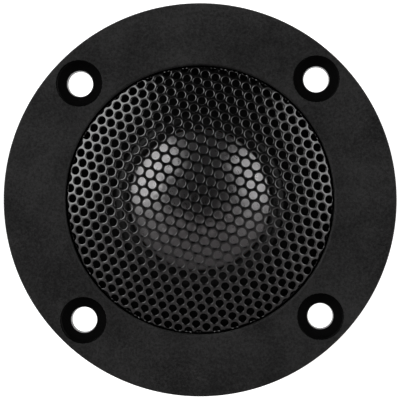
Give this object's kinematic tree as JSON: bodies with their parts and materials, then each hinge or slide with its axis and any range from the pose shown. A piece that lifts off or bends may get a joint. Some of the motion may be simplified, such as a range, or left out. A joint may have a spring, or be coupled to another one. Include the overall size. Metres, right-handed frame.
{
  "type": "car tweeter",
  "caption": "Flush-mount car tweeter: round black flange with counterbored screw holes, and a metal dome behind a domed perforated steel grille.",
  "frame": {"origin": "centre of the rear chamber's flat back, the lowest point of the tweeter as it lies on its back", "axes": "+Z along the axis of symmetry towards the front, the way the sound leaves; -Y towards the terminals"},
  "size_m": [0.072, 0.072, 0.0275],
  "materials": {
    "faceplate_plastic": "black moulded plastic with a fine even texture",
    "grille_paint": "semi-gloss black powder coat",
    "gasket_foam": "closed-cell foam",
    "dome_metal": "bright drawn metal foil",
    "surround_rubber": "soft black film",
    "former_metal": "rolled foil",
    "coil_wire": "enamelled copper-clad wire",
    "ring_plastic": "black moulded plastic",
    "lead_wire": "enamelled copper-clad wire",
    "plated_steel": "zinc plate",
    "magnet_nickel": "nickel plate",
    "felt": "pressed grey felt",
    "chamber_plastic": "black moulded plastic",
    "chamber_foam": "open-cell damping foam",
    "seal_rubber": "soft black rubber",
    "screw_steel": "zinc plate",
    "board_laminate": "brown paper laminate",
    "terminal_brass": "tin-plated brass strip"
  },
  "bodies": {
    "frame": {"faceplate": "faceplate_plastic", "grille": "grille_paint", "flange_gasket": "gasket_foam", "surround": "surround_rubber", "diaphragm_ring": "ring_plastic", "lead_wire_positive": "lead_wire", "lead_wire_negative": "lead_wire", "yoke": "plated_steel", "magnet": "magnet_nickel", "top_plate": "plated_steel", "damping_pad": "felt", "rear_chamber": "chamber_plastic", "chamber_foam": "chamber_foam", "rear_seal": "seal_rubber", "assembly_screw_1": "screw_steel", "assembly_screw_2": "screw_steel", "assembly_screw_3": "screw_steel", "assembly_screw_4": "screw_steel", "terminal_board": "board_laminate", "terminal_positive": "terminal_brass", "terminal_negative": "terminal_brass", "rivet_positive": "terminal_brass", "rivet_negative": "terminal_brass"},
    "diaphragm": {"dome": "dome_metal", "voice_coil_former": "former_metal", "voice_coil": "coil_wire"}
  },
  "joints": [
    {"name": "diaphragm_slide", "type": "slide", "parent": "frame", "child": "diaphragm", "axis": [0, 0, 1], "range_m": [-0.0005, 0.0005], "stiffness_N_per_m": 12000, "deforming": ["surround", "lead_wire_positive", "lead_wire_negative"]}
  ]
}
